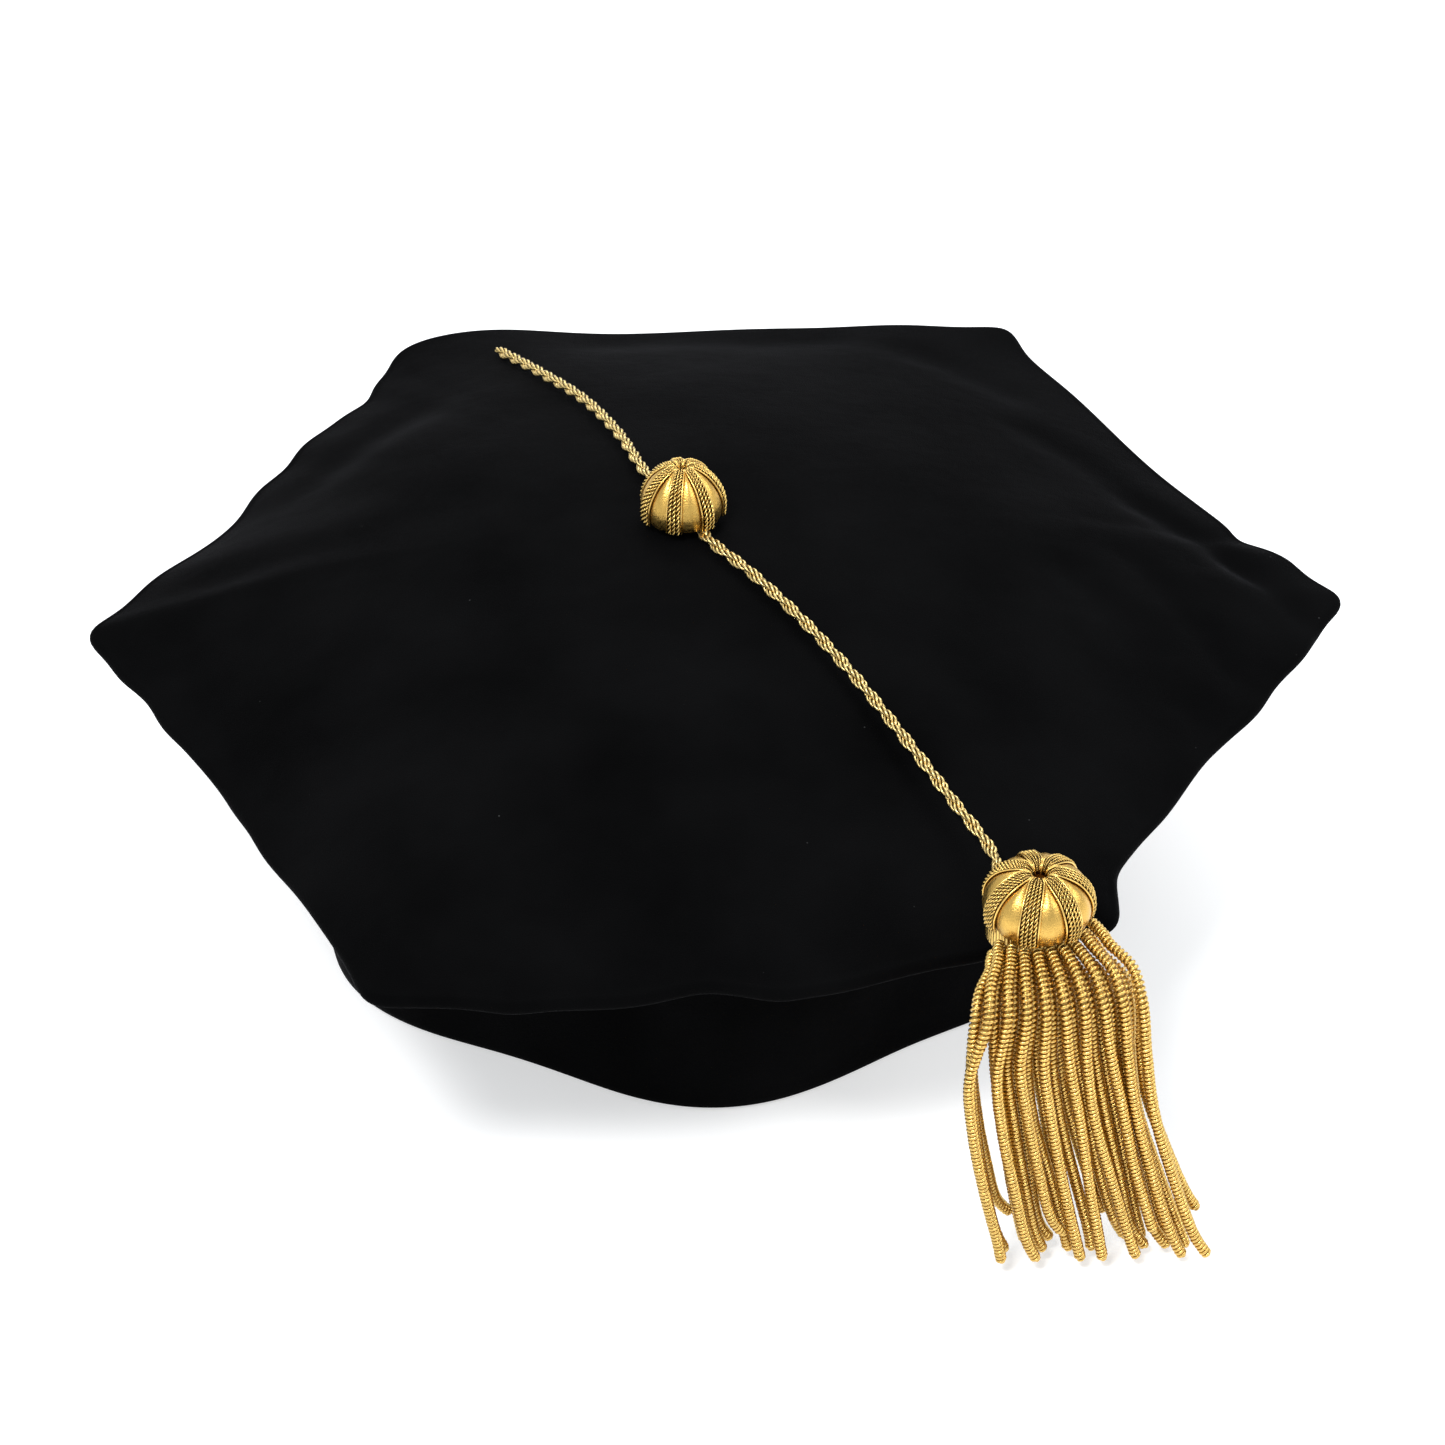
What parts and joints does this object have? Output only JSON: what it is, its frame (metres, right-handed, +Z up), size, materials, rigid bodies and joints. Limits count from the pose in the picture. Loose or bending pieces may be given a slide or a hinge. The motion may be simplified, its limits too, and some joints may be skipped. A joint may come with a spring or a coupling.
{
  "type": "graduation cap",
  "caption": "Soft six-sided doctoral tam in black velvet on a headband, with a domed gold button, a twisted gold cord and a domed tassel of gold bullion strands.",
  "frame": {"origin": "below the middle of the hat, on the surface it stands on", "axes": "+Z up through the crown, +X to the hat's right-hand corner as seen from the front, +Y to the back; the tassel hangs at the front-right corner"},
  "size_m": [0.308, 0.3076, 0.1197],
  "materials": {
    "velvet": "deep black velvet pile with a faint grey sheen at grazing angles",
    "lining": "black satin lining, softly glossy",
    "stiffening": "plain woven buckram and interfacing, matt off-white",
    "sweatband": "black leatherette with a fine grain",
    "elastic": "black ribbed elastic, matt",
    "mould": "turned unpainted wood",
    "gold_satin": "gold metallic satin, soft broad highlights",
    "gold_braid": "gold metallic braid, small bright glints",
    "gold_cord": "two-strand twisted cord of gold metallic thread",
    "bullion": "coiled gold gimp wire with fine bright ribs",
    "thread": "black waxed sewing thread"
  },
  "bodies": {
    "hat": {"crown_top": "velvet", "crown_interfacing": "stiffening", "lining_top": "lining", "crown_side_back_right": "velvet", "crown_side_back": "velvet", "crown_side_back_left": "velvet", "crown_side_front_left": "velvet", "crown_side_front": "velvet", "crown_side_front_right": "velvet", "lining_side": "lining", "headband_velvet": "velvet", "headband_stiffener": "stiffening", "sweatband": "sweatband", "back_elastic": "elastic", "button_mould": "mould", "button_satin_cover": "gold_satin", "button_braid_strips": "gold_braid", "button_thread": "thread", "button_anchor_disc": "stiffening"},
    "cord": {"tassel_cord": "gold_cord"},
    "tassel": {"tassel_cap_mould": "mould", "tassel_cap_satin_cover": "gold_satin", "tassel_cap_braid_strips": "gold_braid", "fringe_heading": "gold_braid", "bullion_strand_01": "bullion", "bullion_strand_02": "bullion", "bullion_strand_03": "bullion", "bullion_strand_04": "bullion", "bullion_strand_05": "bullion", "bullion_strand_06": "bullion", "bullion_strand_07": "bullion", "bullion_strand_08": "bullion", "bullion_strand_09": "bullion", "bullion_strand_10": "bullion", "bullion_strand_11": "bullion", "bullion_strand_12": "bullion", "bullion_strand_13": "bullion", "bullion_strand_14": "bullion", "bullion_strand_15": "bullion", "bullion_strand_16": "bullion", "bullion_strand_17": "bullion", "bullion_strand_18": "bullion", "bullion_strand_19": "bullion", "bullion_strand_20": "bullion", "bullion_strand_21": "bullion", "bullion_strand_22": "bullion", "bullion_strand_23": "bullion", "bullion_strand_24": "bullion", "bullion_strand_25": "bullion", "bullion_strand_26": "bullion", "bullion_strand_27": "bullion"}
  },
  "joints": [
    {"name": "tassel_swing", "type": "hinge", "parent": "hat", "child": "cord", "pos_m": [-0.0088, 0.0014, 0.104], "axis": [0, 0, 1], "continuous": true},
    {"name": "tassel_lift", "type": "hinge", "parent": "cord", "child": "tassel", "pos_m": [0.05667, -0.12708, 0.0849], "axis": [-0.891, -0.454, 0], "range_deg": [0, 80]}
  ]
}
